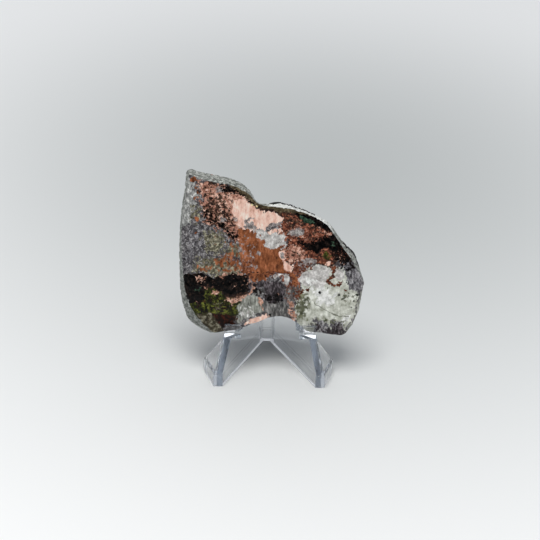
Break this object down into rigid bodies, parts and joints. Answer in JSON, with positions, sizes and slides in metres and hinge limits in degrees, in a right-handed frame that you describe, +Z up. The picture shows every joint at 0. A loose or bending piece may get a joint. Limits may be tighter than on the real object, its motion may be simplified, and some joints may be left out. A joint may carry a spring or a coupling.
{
  "type": "native copper slice on easel",
  "caption": "Polished slice of native copper in dark and pale stone, leaning in the hooks of a small clear one-piece easel.",
  "frame": {"origin": "middle of the bounding box at the surface that the easel stands on", "axes": "+Z up, +X to the right as the polished face is seen, +Y away from the viewer"},
  "size_m": [0.0622, 0.0334, 0.0674],
  "materials": {
    "copper_stone": "polished face and back, ground sides",
    "clear_acrylic": "clear, glossy"
  },
  "bodies": {
    "root": {"copper_slice": "copper_stone", "easel": "clear_acrylic"}
  },
  "joints": []
}
